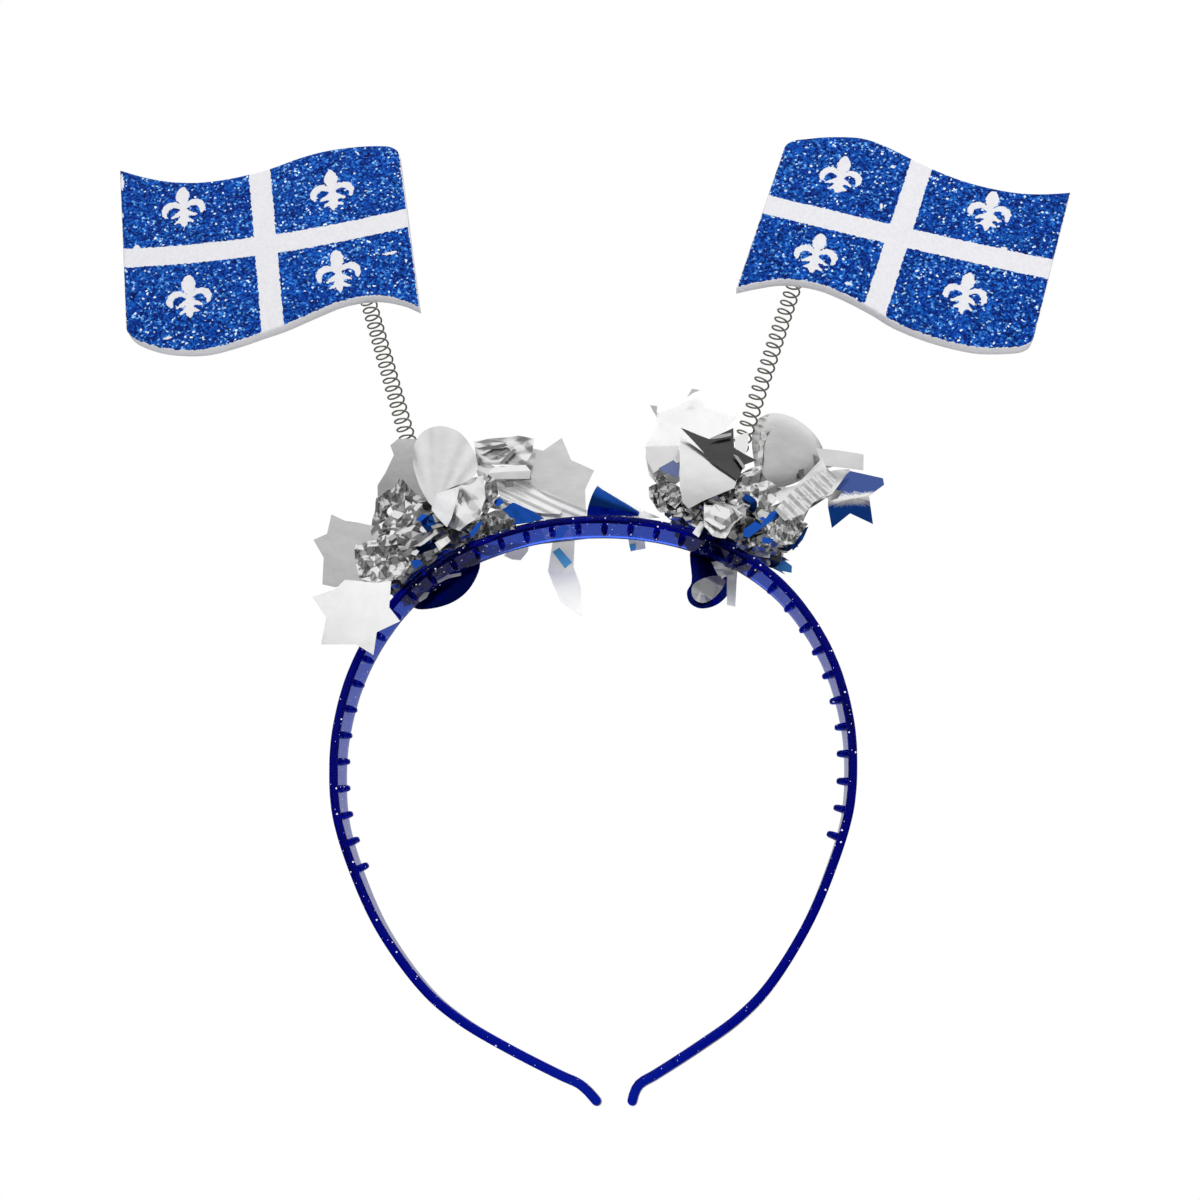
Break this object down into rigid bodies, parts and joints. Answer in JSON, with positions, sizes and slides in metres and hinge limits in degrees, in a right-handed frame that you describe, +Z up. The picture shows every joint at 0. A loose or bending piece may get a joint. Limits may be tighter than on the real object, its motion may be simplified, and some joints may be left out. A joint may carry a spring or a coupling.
{
  "type": "head bopper",
  "caption": "Moulded comb headband with a waving foam flag on a coil spring at each side, each spring rising from a tuft of foil stars, petals and strips.",
  "frame": {"origin": "the crown: middle of the headband's inner face at its highest point, where it sits on a head", "axes": "+Z up as worn, -Y the front that both flags face, +X to the wearer's left, the viewer's right"},
  "size_m": [0.2757, 0.0267, 0.2673],
  "materials": {
    "blue_plastic": "translucent moulded plastic with silver flakes",
    "spring_steel": "plated wire",
    "flag_foam": "white sheet foam with blue glitter printed on its face",
    "pad_foam": "white sheet foam",
    "foil": "thin metallised film, silver on one face and blue on the other"
  },
  "bodies": {
    "headband": {"headband": "blue_plastic", "tuft_left": "foil", "tuft_right": "foil"},
    "left_spring": {"spring_left": "spring_steel"},
    "left_flag": {"flag_left": "flag_foam", "pad_left": "pad_foam"},
    "right_spring": {"spring_right": "spring_steel"},
    "right_flag": {"flag_right": "flag_foam", "pad_right": "pad_foam"}
  },
  "joints": [
    {"name": "left_sway", "type": "hinge", "parent": "headband", "child": "left_spring", "pos_m": [-0.05063, 0, 0.02815], "axis": [0, -1, 0], "range_deg": [-25, 25], "stiffness_Nm_per_rad": 0.006, "springref_deg": -12.62, "deforming": ["spring_left"]},
    {"name": "left_nod", "type": "hinge", "parent": "left_spring", "child": "left_flag", "pos_m": [-0.05906, 0, 0.0559], "axis": [1, 0, 0], "range_deg": [-25, 25], "stiffness_Nm_per_rad": 0.006, "springref_deg": -1.2},
    {"name": "right_sway", "type": "hinge", "parent": "headband", "child": "right_spring", "pos_m": [0.04286, 0, 0.03249], "axis": [0, 1, 0], "range_deg": [-25, 25], "stiffness_Nm_per_rad": 0.006, "springref_deg": -11.52, "deforming": ["spring_right"]},
    {"name": "right_nod", "type": "hinge", "parent": "right_spring", "child": "right_flag", "pos_m": [0.05206, 0, 0.06], "axis": [1, 0, 0], "range_deg": [-25, 25], "stiffness_Nm_per_rad": 0.006, "springref_deg": -1.07}
  ]
}
